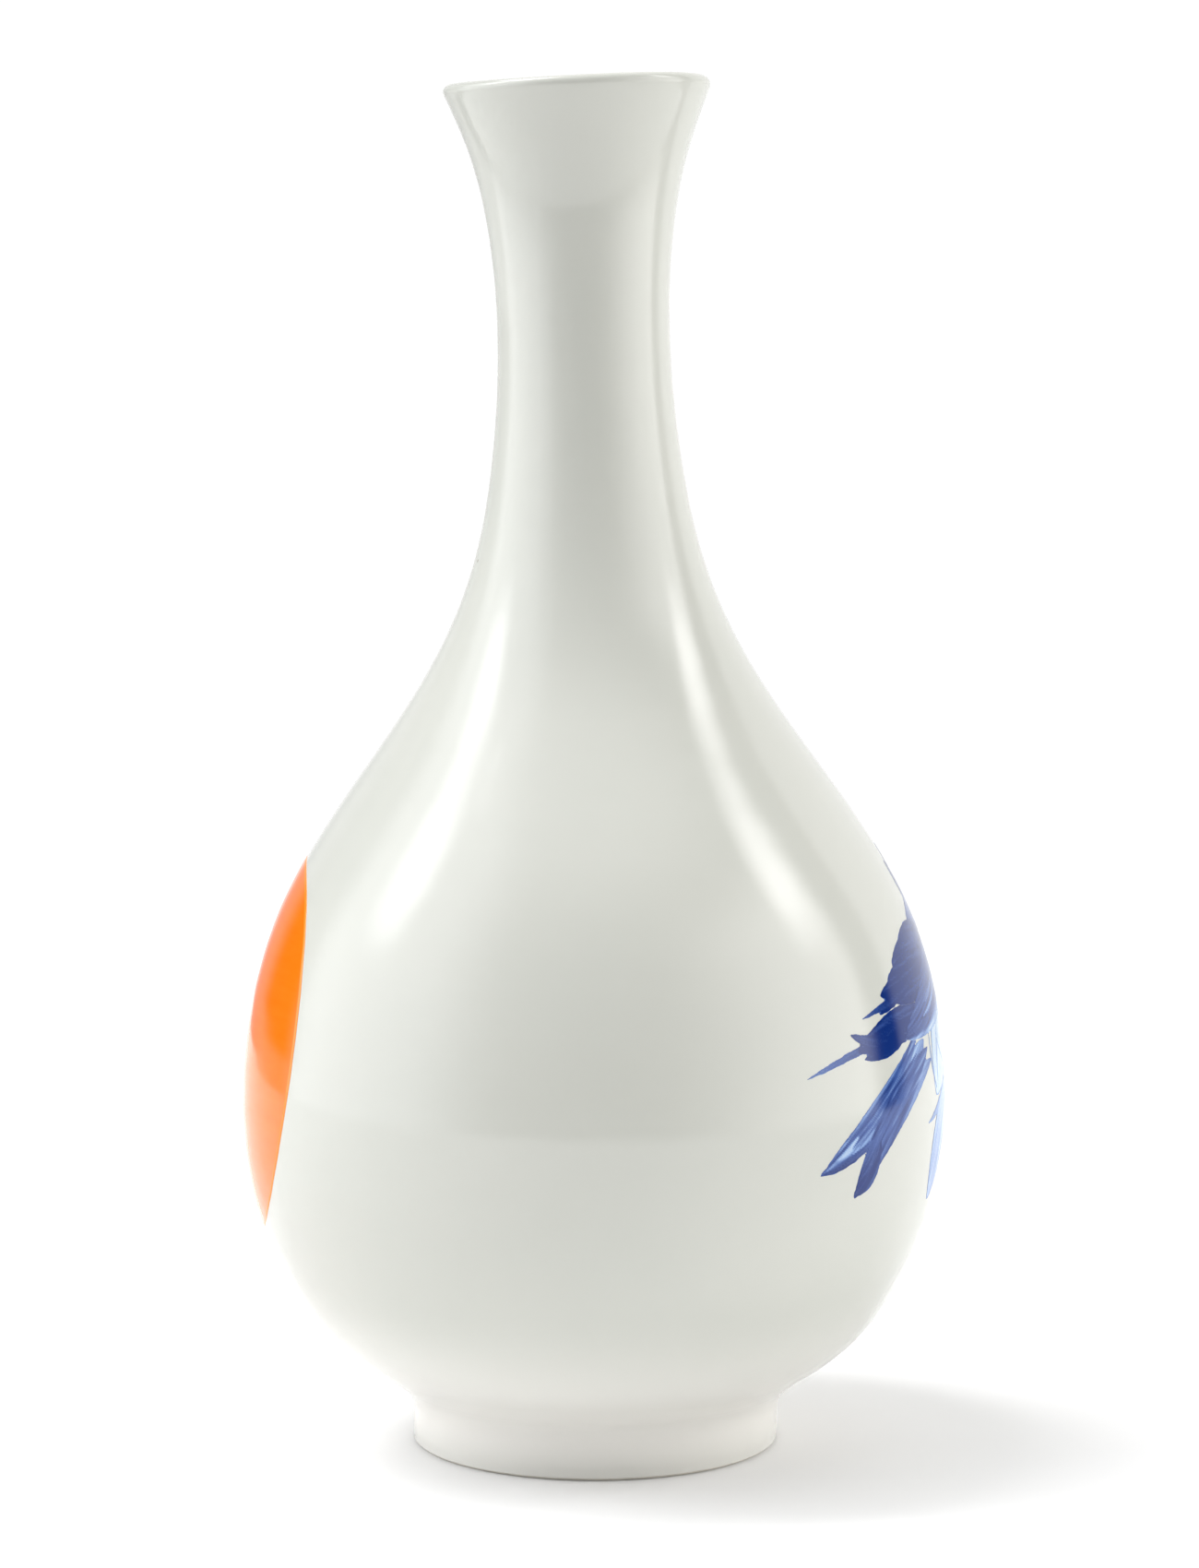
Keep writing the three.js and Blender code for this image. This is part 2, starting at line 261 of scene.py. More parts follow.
class Pot:
    """The pot's shape in millimetres: outline, wall, lean and rim. Turns are radians from the front."""

    def __init__(self, s):
        self.s = s
        self.lip_r = s.mouth_radius - s.lip_radius
        self.lip_z = s.height - s.lip_radius
        flare = (self.lip_z - s.lip_radius * math.sin(LIP_ANGLE),
                 self.lip_r + s.lip_radius * math.cos(LIP_ANGLE))
        crease = (s.foot_height, s.crease_radius)
        belly = (s.belly_height, s.belly_radius)
        neck = (s.neck_height, s.neck_radius)

        def between(pairs, a, b):
            return [(a[0] + p * (b[0] - a[0]), a[1] + q * (b[1] - a[1])) for p, q in pairs]

        upper = [(belly[0] + p * (neck[0] - belly[0]), neck[1] + q * (belly[1] - neck[1]))
                 for p, q in UPPER_BODY]
        knots = [crease, *between(UNDERBODY, crease, belly), belly, *upper, neck]
        knots += [*between(MOUTH_FLARE, neck, flare), flare]
        self.z, self.r = np.array(knots).T
        self.flare_z = flare[0]
        self.bend = self._bends()
        self.arc_z = np.arange(s.foot_height, WALL_LINE_TOP, WALL_LINE_STEP)
        _, slope = self.outline(self.arc_z)
        steps = WALL_LINE_STEP * np.hypot(1, slope)
        self.arc = np.concatenate([[0], np.cumsum((steps[1:] + steps[:-1]) / 2)])

    def _bends(self):
        """Second derivatives of the natural cubic spline through the knots."""
        h = np.diff(self.z)
        rise = np.diff(self.r) / h
        n = len(self.z)
        a = np.eye(n)
        b = np.zeros(n)
        for i in range(1, n - 1):
            a[i, i - 1:i + 2] = h[i - 1], 2 * (h[i - 1] + h[i]), h[i]
            b[i] = 6 * (rise[i] - rise[i - 1])
        return np.linalg.solve(a, b)

    def outline(self, z):
        """Radius and slope of the body at heights z."""
        z = np.asarray(z, float)
        i = np.clip(np.searchsorted(self.z, z, side="right") - 1, 0, len(self.z) - 2)
        h = self.z[i + 1] - self.z[i]
        t = np.maximum(z - self.z[i], -RUN_UNDER)
        first = (self.r[i + 1] - self.r[i]) / h - h * (2 * self.bend[i] + self.bend[i + 1]) / 6
        third = (self.bend[i + 1] - self.bend[i]) / h
        radius = self.r[i] + t * (first + t * (self.bend[i] / 2 + t * third / 6))
        return radius, first + t * (self.bend[i] + t * third / 2)

    def rings(self, turn, z):
        """The soft spiral that the thrower's fingers leave, with slower level rings."""
        s = self.s
        spiral = np.sin(2 * np.pi * z / s.ring_pitch + turn)
        spiral = spiral + 0.6 * np.sin(2 * np.pi * z / (2.7 * s.ring_pitch) + 1)
        fade = smooth(s.foot_height + 6, s.foot_height + 30, z) * (1 - smooth(s.height - 24, s.height - 8, z))
        return s.ring_depth * spiral * fade

    def skin(self, turn, z):
        """Outer radius, with the foot below and the glaze that fills the crease."""
        s = self.s
        body, _ = self.outline(z)
        foot = s.foot_radius - FOOT_DRAW * smooth(FOOT_DRAW_FROM, FOOT_DRAW_TO, z)
        both = np.logaddexp(CREASE_TIGHT * body, CREASE_TIGHT * foot) / CREASE_TIGHT
        return np.where(z > s.foot_height + CREASE_REACH, body, both) + self.rings(turn, z)

    def inner(self, z):
        """Inner radius, with the wall's thickness measured square to it."""
        s = self.s
        radius, slope = self.outline(z)
        share = np.clip((z - s.belly_height) / (s.neck_height - s.belly_height), 0, 1)
        wall = s.belly_wall + (s.neck_wall - s.belly_wall) * share
        return radius - wall * np.hypot(1, slope)

    def place(self, turn, r, z):
        """Points in metres, with the pot's lean and the rim's tilt."""
        s = self.s
        lean = -s.lean * np.power(np.maximum(z - s.lean_from, 0) / (s.height - s.lean_from), LEAN_POWER)
        above = np.maximum(z - RIM_FROM, 0) / (s.height - RIM_FROM)
        tilt = s.rim_tilt * (np.sin(turn) + 0.2 * np.cos(turn))
        rise = above ** 2 * (tilt - s.rim_wave * np.cos(2 * turn + np.pi / 3))
        return np.stack([r * np.sin(turn) + lean, -r * np.cos(turn), z + rise], -1) * MM

    def painted(self, u, v, turn, height, out):
        """Points of a flat drawing laid on the wall: u runs round it, v up it, out is off the glaze."""
        girth, _ = self.outline(height)
        z = np.interp(np.interp(height, self.arc_z, self.arc) + v, self.arc, self.arc_z)
        _, slope = self.outline(z)
        turns = turn + u / girth
        off = out / np.hypot(1, slope)
        return self.place(turns, self.skin(turns, z) + off, z - slope * off)


# ---------------------------------------------------------------- meshes

def piece(name, points, faces, node_names, material):
    """A closed mesh object that rides on the pot and stands for its CAD nodes."""
    mesh = bpy.data.meshes.new(name)
    mesh.from_pydata([tuple(p) for p in points], [], faces)
    mesh.validate()
    mesh.shade_smooth()
    mesh.set_sharp_from_angle(angle=SHARP)
    made = bpy.data.objects.new(name, mesh)
    bpy.context.scene.collection.objects.link(made)
    mesh.materials.append(material)
    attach(made, "root")
    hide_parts(*node_names)
    return made


def turned(pot, profile):
    """Points and faces of a turned solid. profile is [radius, height, is the outer skin], from axis to axis."""
    count = pot.s.segments
    turns = np.linspace(0, 2 * np.pi, count, endpoint=False)
    rows, points, faces = [], [], []
    for r, z, outer in profile:
        if not outer and r == 0:
            rows.append([len(points)])
            points.extend(pot.place(np.zeros(1), np.zeros(1), np.full(1, z)))
            continue
        radius = pot.skin(turns, np.full(count, z)) if outer else np.full(count, r)
        rows.append(list(range(len(points), len(points) + count)))
        points.extend(pot.place(turns, radius, np.full(count, z)))
    closed = len(rows[0]) > 1
    pairs = list(zip(rows, rows[1:])) + ([(rows[-1], rows[0])] if closed else [])
    for low, high in pairs:
        for i in range(count):
            j = (i + 1) % count
            if len(low) == 1:
                faces.append((low[0], high[j], high[i]))
            elif len(high) == 1:
                faces.append((low[i], low[j], high[0]))
            else:
                faces.append((low[i], low[j], high[j], high[i]))
    return points, faces


def glazed_profile(pot):
    """The glazed wall from the middle of its underside, up the outside, over the lip and down to the floor."""
    s = pot.s
    under = s.foot_radius - s.glaze
    edge = GLAZE_EDGE
    rows = [(0, s.foot_height, False)]
    rows += [(r, s.foot_height, False) for r in (*UNDERSIDE_ROWS, under - 1, under)]
    rows += [(under, z, False) for z in (s.foot_height - 1, 5, edge + 0.4)]
    rows += [(under + 0.1, edge + 0.06, False), (under + 0.22, edge, False)]
    rows += [(0, z, True) for z in np.concatenate([
        [edge + 0.14, edge + 0.5, 1.9, 2.6], FOOT_ROWS, BODY_ROWS, np.linspace(FLARE_FROM, pot.flare_z, 11)])]
    sweep = np.linspace(-LIP_ANGLE, math.pi + 0.1 - LIP_ANGLE, 16)[1:-1]
    rows += [(pot.lip_r + s.lip_radius * math.cos(a), pot.lip_z + s.lip_radius * math.sin(a), False)
             for a in sweep]
    top = s.foot_height + s.floor
    down = np.concatenate([
        np.linspace(pot.flare_z, RIM_FROM + 4, 12), np.arange(RIM_FROM + 1, top + FLOOR_CORNER + 3, -3.0)])
    mouth_inner = pot.inner(np.array(pot.flare_z))
    for z in down:
        blend = max(z - RIM_FROM, 0) / (pot.flare_z - RIM_FROM)
        ripple = INSIDE_RING_DEPTH * math.sin(z / INSIDE_RING_LENGTH) * (1 - smooth(230, 270, z))
        to_lip = (pot.lip_r - s.lip_radius - mouth_inner) * blend ** 2
        rows.append((float(pot.inner(z)) + to_lip + ripple, z, False))
    start = float(pot.inner(top + FLOOR_CORNER))
    for a in np.linspace(0.15, math.pi / 2, 9):
        rows.append((start - 9 * (1 - math.cos(a)) - 6 * a, top + FLOOR_CORNER * (1 - math.sin(a)), False))
    rows += [(r, top, False) for r in FLOOR_ROWS]
    rows.append((0, top, False))
    return rows


def foot_profile(pot):
    """The bare porcelain ring under the glaze, ground flat and softened at its edges."""
    s = pot.s
    out = s.foot_radius - s.glaze - 0.02
    inside = s.foot_radius - s.foot_wall
    top = s.foot_height - 0.01
    profile = [(inside, 1.0), (inside + 0.3, 0.35), (inside + 1.0, 0), (inside + 2.4, 0), (out - 2.4, 0),
               (out - 1.0, 0), (out - 0.45, 0.12), (out - 0.2, 0.4), (out, 0.9), (out, 5), (out, top),
               (out - 3, top), (inside - 0.5, top), (inside - 0.3, 5)]
    return [(r, z, False) for r, z in profile]


def slab(flat, faces, lay):
    """A closed coat from a flat mesh: lay(flat, side) gives its top points for 1 and its bottom ones for 0."""
    count = len(flat)
    points = np.concatenate([lay(flat, 1), lay(flat, 0)])
    edges = {}
    for face in faces:
        for a, b in zip(face, face[1:] + face[:1]):
            edges[(a, b)] = edges.get((a, b), 0) + 1
    sides = [(b, a, a + count, b + count) for a, b in edges if (b, a) not in edges]
    under = [tuple(i + count for i in reversed(face)) for face in faces]
    return points, list(faces) + under + sides


# ---------------------------------------------------------------- the painted bird

class Stroke:
    """One brush stroke from root to tip, [u, v] in millimetres. bend bows it to the left of its own direction,
    and fullness above 1 puts its broadest part nearer the tip. tones are the ink at root and tip, rim the
    darker line where ink pools along its edge, streaks how strongly the hairs show, and belly the ink along
    its right side where that differs."""

    def __init__(self, root, tip, width, bend, fullness, tones, rim=0.15, streaks=0.1, belly=None):
        self.root, self.tip = np.array(root, float), np.array(tip, float)
        self.width, self.bend, self.fullness = width, bend, fullness
        self.tones, self.rim, self.streaks, self.belly = tones, rim, streaks, belly
        along = self.tip - self.root
        self.length = float(np.hypot(*along))
        self.along = along / self.length
        self.across = np.array([-self.along[1], self.along[0]])
        self.seed = abs(root[0] * 3.7 + tip[1] * 5.3 + tip[0] * 1.9)

    def measure(self, u, v):
        """Share along the stroke, place across it, and distance outside its edge (negative inside)."""
        du, dv = u - self.root[0], v - self.root[1]
        raw = (du * self.along[0] + dv * self.along[1]) / self.length
        t = np.clip(raw, 0.0, 1.0)
        across = du * self.across[0] + dv * self.across[1] - self.bend * 4 * t * (1 - t)
        half = self._half(t)
        steep = (self._half(np.minimum(t + 0.01, 1)) - self._half(np.maximum(t - 0.01, 0))) / (0.02 * self.length)
        beyond = (raw - t) * self.length
        side = (np.abs(across) - half) / np.hypot(1, steep)
        outside = np.where(np.abs(beyond) > 0, np.hypot(np.maximum(np.abs(across) - half, 0), beyond), side)
        return t, across, outside

    def _half(self, t):
        """Half the stroke's breadth at each share of its length."""
        return self.width / 2 * np.power(np.maximum(np.sin(np.pi * np.power(t, self.fullness)), 0), STROKE_POWER)

    def ink(self, t, across, outside, hairs):
        """How dark the stroke is, from 0 to 1."""
        half = np.maximum(self._half(t), 0.3)
        tone = self.tones[0] + (self.tones[1] - self.tones[0]) * smooth(0.05, 0.95, t)
        if self.belly is not None:
            tone = self.belly + (tone - self.belly) * smooth(-0.86, -0.56, across / half)
        hair = hairs.at(across / HAIR_WIDTH + self.seed, t * self.length / HAIR_LENGTH + self.seed)
        fine = hairs.at(across / FINE_WIDTH + 2 * self.seed, t * self.length / FINE_LENGTH + 7)
        body = tone + self.streaks * (1.5 * (hair - 0.5) + (fine - 0.5))
        pool = self.rim * np.exp(-np.square(outside / POOL_WIDTH))
        return np.clip(body + pool, 0.03, 1)


class Dot(Stroke):
    """A round dab of the brush."""

    def __init__(self, centre, radius, tones, rim=0.15, streaks=0.05):
        super().__init__((centre[0] - radius, centre[1]), (centre[0] + radius, centre[1]), 2 * radius, 0, 1,
                         tones, rim, streaks)
        self.centre, self.radius = np.array(centre, float), radius

    def measure(self, u, v):
        du, dv = u - self.centre[0], v - self.centre[1]
        t = np.clip((du + self.radius) / (2 * self.radius), 0, 1)
        return t, dv, np.hypot(du, dv) - self.radius


DEEP = (0.97, 0.97)
BIRD = {
    "bird_body": [
        Stroke((-10, 14), (-25.5, -10), 16, 0, 0.9, (0.14, 0.2), rim=0.3, streaks=0.12),
        Stroke((-27.6, 4.5), (-25, -8.6), 0.8, -1.4, 1, (0.45, 0.6), rim=0, streaks=0.1),
        Stroke((-19, 6), (-23.6, -7), 0.7, -1.2, 1, (0.35, 0.5), rim=0, streaks=0.1),
        Stroke((-22, 6), (-15.5, -4), 0.6, -1.0, 1, (0.35, 0.5), rim=0, streaks=0.1),
        Stroke((-42.5, 5.5), (20, 28), 15, -1, 1.1, (0.86, 0.76), rim=0.1, streaks=0.24, belly=0.34),
        Stroke((-30, 9), (-6, 16.5), 1.1, -0.6, 1, (0.5, 0.62), rim=0, streaks=0.2),
        Stroke((-26, 11.8), (-4, 20), 0.9, -0.5, 1, (0.45, 0.62), rim=0, streaks=0.2),
        Dot((20, 28), 6, (0.7, 0.8), rim=0.2),
        Stroke((22, 30), (37, 35), 4.4, 0, 0.8, (0.5, 0.72), rim=0.2),
        Dot((22, 29.6), 1.5, (0.03, 0.03), rim=0.0, streaks=0.0),
        Dot((22.2, 29.6), 0.9, (1, 1), rim=0.0, streaks=0.0),
    ],
    "bird_front_wing": [
        Stroke((8, 22), (-40, 20), 16, 0, 1, (0.8, 0.94), streaks=0.18),
        Stroke((-28, 22), (2, 35.5), 9, 0, 1, (0.92, 0.62), streaks=0.2),
        Stroke((4, 24), (-34, 26.5), 9, -1, 1.6, (0.8, 0.95), streaks=0.18),
        Stroke((2, 22), (-41, 23), 9, -2, 1.6, (0.8, 0.97), streaks=0.16),
        Stroke((0, 20), (-45.5, 19.5), 8, -1, 1.6, (0.8, 0.97), streaks=0.16),
        Stroke((-4, 20), (-50.5, 16.5), 6.5, -1, 1.6, DEEP, streaks=0.12),
        Stroke((-12, 18), (-44, 14), 5.5, 0, 0.9, (0.9, 0.97), streaks=0.12),
        Stroke((-26, 20.5), (-52.2, 12.4), 2.6, 0, 1.2, DEEP, streaks=0.12),
        Stroke((-34, 17.5), (-59.4, 12.2), 2, 0, 0.7, (0.97, 0.8), rim=0.05),
    ],
    "bird_back_wing": [
        Stroke((0, 24), (8, 41), 16, 0, 0.9, (0.5, 0.55), streaks=0.16),
        Stroke((-1, 25), (-7, 45), 8, -1, 1.4, (0.5, 0.85), streaks=0.2),
        Stroke((1, 25), (1, 49), 8.5, -1, 1.4, (0.5, 0.88), streaks=0.2),
        Stroke((2, 25), (9, 50.5), 8.5, -1, 1.4, (0.5, 0.88), streaks=0.2),
        Stroke((3, 25), (17, 48), 8.5, -2, 1.4, (0.5, 0.88), streaks=0.2),
        Stroke((5, 25), (23.5, 42.5), 8, -2, 1.4, (0.5, 0.88), streaks=0.2),
    ],
    "bird_plume": [
        Stroke((-50, 7.6), (-79.5, 0.5), 2, -0.6, 0.6, (0.95, 0.66), rim=0.05),
        Stroke((-28, 10.5), (-62.5, 5.2), 8.5, -1, 0.9, DEEP, streaks=0.16),
        Stroke((-46, 6.5), (-64.4, 9.2), 3, 1.5, 1.1, (0.97, 0.94)),
        Stroke((-42, 6.5), (-60.5, 3.2), 3.4, 0.5, 1, DEEP),
    ],
    "bird_tail": [
        Stroke((-32, 4), (-67, -19), 9, -1, 1, (0.44, 0.54), rim=0.1, streaks=0.24),
        Stroke((-36, 6), (-75.3, -21.3), 5, 0, 1, (0.52, 0.6), rim=0.12, streaks=0.24),
        Stroke((-28.5, -1), (-61.2, -25), 6.5, -4, 1, (0.56, 0.86), rim=0.12, streaks=0.26),
        Stroke((-30, 2), (-64.6, -28), 8, -4, 1.1, (0.68, 0.84), rim=0.14, streaks=0.3),
        Stroke((-64, -13.8), (-71.5, -18.6), 3.4, 0, 0.9, (0.28, 0.3), rim=0.25, streaks=0.1),
        Stroke((-38, 5.9), (-75.5, -20.9), 1.3, 0, 0.8, (0.8, 0.9), rim=0, streaks=0.2),
        Stroke((-38.5, 3.4), (-68, -15.6), 0.9, -1.1, 0.9, (0.8, 0.8), rim=0, streaks=0.2),
        Stroke((-37.5, 1.6), (-66, -16.2), 0.8, -1.1, 0.9, (0.78, 0.8), rim=0, streaks=0.2),
        Stroke((-36, 0.2), (-64, -16.4), 0.8, -1.1, 0.9, (0.76, 0.8), rim=0, streaks=0.2),
        Stroke((-34, -0.8), (-61, -17), 0.8, -1.2, 0.9, (0.76, 0.84), rim=0, streaks=0.2),
        Stroke((-59, -15.2), (-75.8, -21.4), 1.9, 0.9, 1, (0.84, 0.9), rim=0, streaks=0.2),
        Stroke((-56, -16), (-64.8, -27.6), 4.6, 1.4, 1.3, (0.84, 0.95), rim=0.1, streaks=0.24),
    ],
    "bird_lower_plume": [
        Stroke((-19, -9), (-32.5, -15.6), 1.8, 1, 0.8, (0.4, 0.52), rim=0),
        Stroke((-15, -7), (-27.3, -34.5), 10, -2, 1.1, (0.3, 0.42), rim=0.2, streaks=0.16),
    ],
}


def edge_of(strokes, u, v, ragged):
    """Distance outside a group of strokes, with the small raggedness of brushed edges."""
    wander = 0.22 * (ragged.at(u / 1.3, v / 1.3) - 0.5) + 0.16 * (ragged.at(u / 0.5 + 31, v / 0.5) - 0.5)
    return np.minimum.reduce([stroke.measure(u, v)[2] for stroke in strokes]) + wander


def outline_mesh(edge, low, high, step):
    """A flat mesh of the places where edge(u, v) is negative, with its border drawn onto the line of zero."""
    us, vs = np.arange(low[0], high[0], step), np.arange(low[1], high[1], step)
    u, v = np.meshgrid(us, vs, indexing="ij")
    inside = edge(u, v) < 0
    cells = inside[:-1, :-1] | inside[1:, :-1] | inside[:-1, 1:] | inside[1:, 1:]
    flat = np.stack([u.ravel(), v.ravel()], -1)
    index = np.arange(u.size).reshape(u.shape)
    a, b = index[:-1, :-1][cells], index[1:, :-1][cells]
    c, d = index[1:, 1:][cells], index[:-1, 1:][cells]
    used = np.unique(np.concatenate([a, b, c, d]))
    border = used[~inside.ravel()[used]]
    probe = 0.05
    for _ in range(3):
        x, y = flat[border].T
        f = edge(x, y)
        gx = (edge(x + probe, y) - edge(x - probe, y)) / (2 * probe)
        gy = (edge(x, y + probe) - edge(x, y - probe)) / (2 * probe)
        pull = np.clip(f / np.maximum(gx * gx + gy * gy, 0.2), -0.6 * step, 0.6 * step)
        flat[border] -= np.stack([pull * gx, pull * gy], -1)
    made = bmesh.new()
    verts = {int(i): made.verts.new((flat[i, 0], flat[i, 1], 0)) for i in used}
    for quad in zip(a, b, c, d):
        made.faces.new([verts[int(i)] for i in quad])
    bmesh.ops.triangulate(made, faces=made.faces, quad_method="SHORT_EDGE")
    bmesh.ops.remove_doubles(made, verts=made.verts, dist=0.15 * step)
    bmesh.ops.dissolve_degenerate(made, edges=made.edges, dist=0.05 * step)
    keep_largest(made)
    bmesh.ops.triangulate(made, faces=made.faces)
    made.verts.index_update()
    points = np.array([vert.co[:2] for vert in made.verts])
    faces = []
    for face in made.faces:
        loop = [vert.index for vert in face.verts]
        p, q, r = points[loop]
        area = (q[0] - p[0]) * (r[1] - p[1]) - (q[1] - p[1]) * (r[0] - p[0])
        if abs(area) > 1e-7:
            faces.append(tuple(loop))
    made.free()
    return points, faces


def keep_largest(made):
    """Drops everything but the largest joined patch of faces."""
    left, best = set(made.faces), set()
    while left:
        patch, queue = set(), [left.pop()]
        while queue:
            face = queue.pop()
            patch.add(face)
            for edge in face.edges:
                for near in edge.link_faces:
                    if near in left:
                        left.discard(near)
                        queue.append(near)
        best = max(best, patch, key=len)
    loose = [face for face in made.faces if face not in best]
    bmesh.ops.delete(made, geom=loose, context="FACES")
    lone = [vert for vert in made.verts if not vert.link_faces]
    bmesh.ops.delete(made, geom=lone, context="VERTS")


def inked(strokes, u, v, hairs):
    """The ink at each point, each stroke laid over the ones before it."""
    ink = np.full(u.shape, 0.5)
    for stroke in strokes:
        t, across, outside = stroke.measure(u, v)
        cover = smooth(0.18, -0.1, outside)
        ink = ink + (stroke.ink(t, across, outside, hairs) - ink) * cover
    return ink


# ---------------------------------------------------------------- materials

def node(tree, kind, inputs=None, **settings):
    """Adds a node with its settings, and fills or links its inputs."""
    made = tree.nodes.new(kind)
    for key, value in settings.items():
        setattr(made, key, value)
    for key, value in (inputs or {}).items():
        if isinstance(value, bpy.types.NodeSocket):
            tree.links.new(value, made.inputs[key])
        else:
            made.inputs[key].default_value = value
    return made


def material(name):
    made = bpy.data.materials.new(name)
    made.use_nodes = True
    made.node_tree.nodes.clear()
    return made, made.node_tree


def glaze_surface(tree, colour_socket, place):
    """Finishes a material with clear fired glaze: glossy glass over colour, with the faint unevenness of a
    melted surface."""
    blotch = node(tree, "ShaderNodeTexNoise", {"Vector": place, "Scale": 1 / (14 * MM), "Detail": 3.0})
    gloss = node(tree, "ShaderNodeMapRange", {
        "Value": blotch.outputs["Fac"], "From Min": 0.3, "From Max": 0.7,
        "To Min": GLAZE_ROUGHNESS * 0.8, "To Max": GLAZE_ROUGHNESS * 1.25})
    waves = node(tree, "ShaderNodeTexNoise", {"Vector": place, "Scale": 1 / (9 * MM), "Detail": 1.0})
    bump = node(tree, "ShaderNodeBump", {
        "Height": waves.outputs["Fac"], "Strength": 1.0, "Distance": GLAZE_PEEL * MM})
    pores = node(tree, "ShaderNodeTexNoise", {"Vector": place, "Scale": 1 / (1.1 * MM), "Detail": 2.0})
    fine = node(tree, "ShaderNodeBump", {
        "Height": pores.outputs["Fac"], "Strength": 1.0, "Distance": 0.12 * GLAZE_PEEL * MM,
        "Normal": bump.outputs["Normal"]})
    shader = node(tree, "ShaderNodeBsdfPrincipled", {
        "Base Color": colour_socket, "Roughness": gloss.outputs["Result"], "IOR": 1.5,
        "Normal": fine.outputs["Normal"]})
    node(tree, "ShaderNodeOutputMaterial", {"Surface": shader.outputs["BSDF"]})


def porcelain_colour(tree, place, f):
    """Porcelain under clear glaze: faint clouds, rare iron specks, and a whiter foot and lower belly that is
    partly thinner glaze and partly painted light from the pale floor, with a painted reflection of the darker
    floor in front over the lowest millimetres.
    """
    height = node(tree, "ShaderNodeSeparateXYZ", {"Vector": place})
    clouds = node(tree, "ShaderNodeTexNoise", {"Vector": place, "Scale": 1 / (38 * MM), "Detail": 3.0})
    cloudy = node(tree, "ShaderNodeMapRange", {
        "Value": clouds.outputs["Fac"], "From Min": 0.35, "From Max": 0.75, "To Min": 0.0, "To Max": 0.5})
    thick = node(tree, "ShaderNodeMix", {
        "Factor": cloudy.outputs["Result"], "A": f.porcelain, "B": f.pooled}, data_type="RGBA")
    # paler from 46 mm down to 10 mm: partly thinner glaze, partly painted light standing in for the bounce off the
    # pale floor
    low = node(tree, "ShaderNodeMapRange", {
        "Value": height.outputs["Z"], "From Min": 46 * MM, "From Max": 10 * MM}, interpolation_type="SMOOTHSTEP")
    # darker again over the lowest 9 mm: a painted reflection of the darker floor in front of the foot, not pooled
    # glaze
    pool = node(tree, "ShaderNodeMapRange", {
        "Value": height.outputs["Z"], "From Min": 1 * MM, "From Max": 9 * MM, "To Min": 0.65},
        interpolation_type="SMOOTHSTEP")
    share = node(tree, "ShaderNodeMath", {
        0: low.outputs["Result"], 1: pool.outputs["Result"]}, operation="MULTIPLY")
    base = node(tree, "ShaderNodeMix", {
        "Factor": share.outputs["Value"], "A": thick.outputs["Result"], "B": f.thin}, data_type="RGBA")
    cells = node(tree, "ShaderNodeTexVoronoi", {"Vector": place, "Scale": 1 / (21 * MM), "Randomness": 1.0})
    dot = node(tree, "ShaderNodeMapRange", {
        "Value": cells.outputs["Distance"], "From Min": 0.014, "From Max": 0.026, "To Min": 1.0, "To Max": 0.0})
    chosen = node(tree, "ShaderNodeSeparateColor", {"Color": cells.outputs["Color"]})
    rare = node(tree, "ShaderNodeMath", {0: chosen.outputs["Red"], 1: 0.55}, operation="GREATER_THAN")
    speck = node(tree, "ShaderNodeMath", {
        0: dot.outputs["Result"], 1: rare.outputs["Value"]}, operation="MULTIPLY")
    return node(tree, "ShaderNodeMix", {
        "Factor": speck.outputs["Value"], "A": base.outputs["Result"], "B": f.speck}, data_type="RGBA")


def clear_glazed_porcelain(f):
    """White porcelain, thrown, dipped in clear feldspar glaze and fired: a near-white, slightly grey ground
    under a hard mirror-like skin."""
    made, tree = material("clear_glazed_porcelain")
    place = node(tree, "ShaderNodeTexCoord").outputs["Object"]
    base = porcelain_colour(tree, place, f)
    glaze_surface(tree, base.outputs["Result"], place)
    return made


def ground_biscuit(f):
    """Bare porcelain of the foot, wiped free of glaze and ground on a stone: matt, faintly warm and grainy."""
    made, tree = material("ground_biscuit_porcelain")
    place = node(tree, "ShaderNodeTexCoord").outputs["Object"]
    grain = node(tree, "ShaderNodeTexNoise", {"Vector": place, "Scale": 1 / (0.5 * MM), "Detail": 4.0})
    stain = node(tree, "ShaderNodeTexNoise", {"Vector": place, "Scale": 1 / (9 * MM), "Detail": 3.0})
    tone = node(tree, "ShaderNodeMix", {
        "Factor": stain.outputs["Fac"], "A": f.biscuit, "B": f.speck}, data_type="RGBA")
    pale = node(tree, "ShaderNodeMix", {
        "Factor": 0.25, "A": f.biscuit, "B": tone.outputs["Result"]}, data_type="RGBA")
    bump = node(tree, "ShaderNodeBump", {"Height": grain.outputs["Fac"], "Strength": 1.0, "Distance": 0.06 * MM})
    rough = node(tree, "ShaderNodeMapRange", {
        "Value": grain.outputs["Fac"], "From Min": 0.3, "From Max": 0.7, "To Min": 0.6, "To Max": 0.85})
    shader = node(tree, "ShaderNodeBsdfPrincipled", {
        "Base Color": pale.outputs["Result"], "Roughness": rough.outputs["Result"], "IOR": 1.5,
        "Normal": bump.outputs["Normal"]})
    node(tree, "ShaderNodeOutputMaterial", {"Surface": shader.outputs["BSDF"]})
    return made


